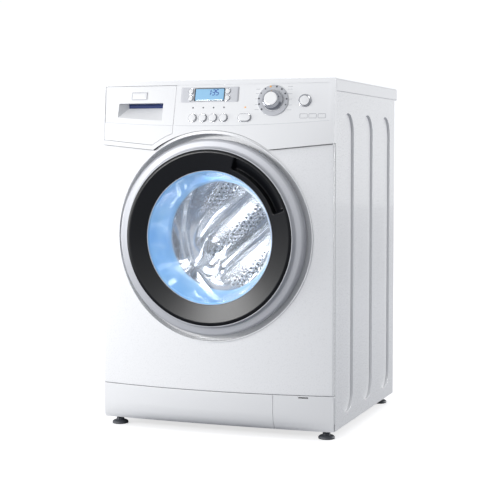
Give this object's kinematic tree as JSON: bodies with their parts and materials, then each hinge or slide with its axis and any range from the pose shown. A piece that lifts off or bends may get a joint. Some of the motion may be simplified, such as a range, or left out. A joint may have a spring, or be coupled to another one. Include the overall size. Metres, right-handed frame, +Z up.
{
  "type": "front-loading washer dryer",
  "caption": "Free-standing front-loading washer dryer with a round glass door, bowed front, detergent drawer and a control panel with a programme knob.",
  "frame": {"origin": "on the floor, in the middle of the whole machine's width and depth", "axes": "+Z up, -Y out of the door's front, +X to the right of someone who faces the door"},
  "size_m": [0.597, 0.643, 0.85],
  "materials": {
    "white_enamel": "smooth gloss enamel",
    "worktop_laminate": "smooth satin laminate on chipboard",
    "white_plastic": "satin moulded plastic",
    "knob_plastic": "satin moulded plastic",
    "silver_plastic": "silver lacquer on moulded plastic",
    "black_plastic": "glossy black moulded plastic",
    "grey_plastic": "satin moulded plastic",
    "tub_plastic": "fibre-filled moulded plastic",
    "navy_plastic": "satin moulded plastic",
    "display_blue": "glossy lens over a lit display",
    "door_glass": "clear moulded glass",
    "gasket_rubber": "moulded rubber",
    "belt_rubber": "moulded ribbed rubber",
    "foot_plastic": "satin moulded plastic",
    "stainless": "bright rolled sheet",
    "zinc_steel": "bright zinc plate",
    "cast_aluminium": "as cast",
    "cast_weight": "as cast, painted grey"
  },
  "bodies": {
    "cabinet": {"cabinet_shell": "white_enamel", "back_cover": "white_enamel", "cover_screws": "zinc_steel", "base_tray": "zinc_steel", "worktop": "worktop_laminate", "front_panel": "white_enamel", "plinth": "white_plastic", "control_fascia": "white_plastic", "display_module": "display_blue", "dispenser_housing": "grey_plastic", "inlet_valves": "grey_plastic", "drain_outlet": "grey_plastic", "cable_gland": "black_plastic", "drain_pump": "grey_plastic", "door_lock": "black_plastic", "hinge_bracket": "zinc_steel", "door_gasket": "gasket_rubber", "damper_cylinders": "zinc_steel", "suspension_springs": "zinc_steel"},
    "tub": {"tub_front": "tub_plastic", "tub_rear": "tub_plastic", "drum_bearings": "zinc_steel", "counterweight": "cast_weight", "drive_motor": "cast_aluminium", "drive_belt": "belt_rubber", "wash_heater": "stainless", "dryer_duct": "cast_aluminium", "damper_rods": "zinc_steel"},
    "drum": {"drum_shell": "stainless", "drum_lifters": "stainless", "drum_spider": "cast_aluminium", "drum_pulley": "cast_aluminium"},
    "motor_rotor": {"motor_pulley": "zinc_steel"},
    "dryer_fan": {"fan_impeller": "cast_aluminium"},
    "door": {"door_frame": "silver_plastic", "door_inner_frame": "black_plastic", "door_glass": "door_glass", "door_back_ring": "grey_plastic", "hinge_arm": "zinc_steel"},
    "latch": {"latch_hook": "zinc_steel"},
    "drawer": {"drawer_front": "white_plastic", "drawer_tray": "navy_plastic"},
    "pump_rotor": {"pump_impeller": "grey_plastic"},
    "pump_filter": {"pump_filter": "grey_plastic"},
    "filter_flap": {"filter_flap": "white_plastic"},
    "program_knob": {"program_knob": "knob_plastic"},
    "foot_left_front": {"foot_left_front": "foot_plastic"},
    "foot_left_rear": {"foot_left_rear": "foot_plastic"},
    "foot_right_front": {"foot_right_front": "foot_plastic"},
    "foot_right_rear": {"foot_right_rear": "foot_plastic"},
    "upper_left_key": {"upper_left_key": "white_plastic"},
    "lower_left_key": {"lower_left_key": "white_plastic"},
    "upper_right_key": {"upper_right_key": "white_plastic"},
    "lower_right_key": {"lower_right_key": "white_plastic"},
    "option_button_1": {"option_button_1": "white_plastic"},
    "option_button_2": {"option_button_2": "white_plastic"},
    "option_button_3": {"option_button_3": "white_plastic"},
    "option_button_4": {"option_button_4": "white_plastic"},
    "start_button": {"start_button": "white_plastic"},
    "power_button": {"power_button": "white_plastic"}
  },
  "joints": [
    {"name": "door_swing", "type": "hinge", "parent": "cabinet", "child": "door", "pos_m": [-0.226, -0.2975, 0.475], "axis": [0, 0, -1], "range_deg": [0, 130]},
    {"name": "drawer_slide", "type": "slide", "parent": "cabinet", "child": "drawer", "axis": [0, -1, 0], "range_m": [0, 0.2]},
    {"name": "drum_spin", "type": "hinge", "parent": "tub", "child": "drum", "pos_m": [0, 0.0345, 0.475], "axis": [0, 1, 0], "continuous": true},
    {"name": "dryer_fan_spin", "type": "hinge", "parent": "tub", "child": "dryer_fan", "pos_m": [0.145, 0.1345, 0.75], "axis": [0, 0, 1], "continuous": true},
    {"name": "filter_flap_tilt", "type": "hinge", "parent": "cabinet", "child": "filter_flap", "pos_m": [0.226, -0.2675, 0.03], "axis": [1, 0, 0], "range_deg": [0, 75]},
    {"name": "level_left_front_foot", "type": "slide", "parent": "cabinet", "child": "foot_left_front", "axis": [0, 0, -1], "range_m": [-0.006, 0.012]},
    {"name": "level_left_rear_foot", "type": "slide", "parent": "cabinet", "child": "foot_left_rear", "axis": [0, 0, -1], "range_m": [-0.006, 0.012]},
    {"name": "level_right_front_foot", "type": "slide", "parent": "cabinet", "child": "foot_right_front", "axis": [0, 0, -1], "range_m": [-0.006, 0.012]},
    {"name": "level_right_rear_foot", "type": "slide", "parent": "cabinet", "child": "foot_right_rear", "axis": [0, 0, -1], "range_m": [-0.006, 0.012]},
    {"name": "latch_tilt", "type": "hinge", "parent": "door", "child": "latch", "pos_m": [0.205, -0.2875, 0.475], "axis": [0, 0, 1], "range_deg": [0, 8], "stiffness_Nm_per_rad": 0.4, "springref_deg": -8.59},
    {"name": "motor_spin", "type": "hinge", "parent": "tub", "child": "motor_rotor", "pos_m": [0, 0.1645, 0.15], "axis": [0, 1, 0], "continuous": true},
    {"name": "press_upper_left_key", "type": "slide", "parent": "cabinet", "child": "upper_left_key", "axis": [0.0104, 0.9697, -0.2442], "range_m": [0, 0.0015], "stiffness_N_per_m": 1000, "springref_m": -0.0006},
    {"name": "press_lower_left_key", "type": "slide", "parent": "cabinet", "child": "lower_left_key", "axis": [0.0142, 0.9696, -0.2442], "range_m": [0, 0.0015], "stiffness_N_per_m": 1000, "springref_m": -0.0006},
    {"name": "press_upper_right_key", "type": "slide", "parent": "cabinet", "child": "upper_right_key", "axis": [-0.0064, 0.9687, -0.2481], "range_m": [0, 0.0015], "stiffness_N_per_m": 1000, "springref_m": -0.0006},
    {"name": "press_lower_right_key", "type": "slide", "parent": "cabinet", "child": "lower_right_key", "axis": [-0.0087, 0.9687, -0.2481], "range_m": [0, 0.0015], "stiffness_N_per_m": 1000, "springref_m": -0.0006},
    {"name": "press_option_button_1", "type": "slide", "parent": "cabinet", "child": "option_button_1", "axis": [0.021, 0.969, -0.246], "range_m": [0, 0.0015], "stiffness_N_per_m": 1000, "springref_m": -0.0006},
    {"name": "press_option_button_2", "type": "slide", "parent": "cabinet", "child": "option_button_2", "axis": [0.0097, 0.9683, -0.2495], "range_m": [0, 0.0015], "stiffness_N_per_m": 1000, "springref_m": -0.0006},
    {"name": "press_option_button_3", "type": "slide", "parent": "cabinet", "child": "option_button_3", "axis": [-0.0014, 0.9681, -0.2505], "range_m": [0, 0.0015], "stiffness_N_per_m": 1000, "springref_m": -0.0006},
    {"name": "press_option_button_4", "type": "slide", "parent": "cabinet", "child": "option_button_4", "axis": [-0.0127, 0.9685, -0.2488], "range_m": [0, 0.0015], "stiffness_N_per_m": 1000, "springref_m": -0.0006},
    {"name": "press_start_button", "type": "slide", "parent": "cabinet", "child": "start_button", "axis": [-0.0355, 0.9707, -0.2377], "range_m": [0, 0.0015], "stiffness_N_per_m": 1000, "springref_m": -0.0006},
    {"name": "press_power_button", "type": "slide", "parent": "cabinet", "child": "power_button", "axis": [-0.0644, 0.9863, -0.1517], "range_m": [0, 0.0015], "stiffness_N_per_m": 1000, "springref_m": -0.0006},
    {"name": "program_knob_turn", "type": "hinge", "parent": "cabinet", "child": "program_knob", "pos_m": [0.1499, -0.2787, 0.7988], "axis": [0.0411, -0.9772, 0.2083], "continuous": true},
    {"name": "pump_filter_turn", "type": "hinge", "parent": "cabinet", "child": "pump_filter", "pos_m": [0.226, -0.2655, 0.072], "axis": [0, -1, 0], "range_deg": [0, 90]},
    {"name": "pump_rotor_spin", "type": "hinge", "parent": "cabinet", "child": "pump_rotor", "pos_m": [0.226, -0.2185, 0.072], "axis": [0, 1, 0], "continuous": true},
    {"name": "tub_bounce", "type": "slide", "parent": "cabinet", "child": "tub", "axis": [0, 0, 1], "range_m": [-0.01, 0.01], "stiffness_N_per_m": 12000, "springref_m": 0.0234, "deforming": ["suspension_springs", "door_gasket"]}
  ],
  "couplings": [
    {"joint": "motor_spin", "follows": "drum_spin", "ratio": 10}
  ]
}
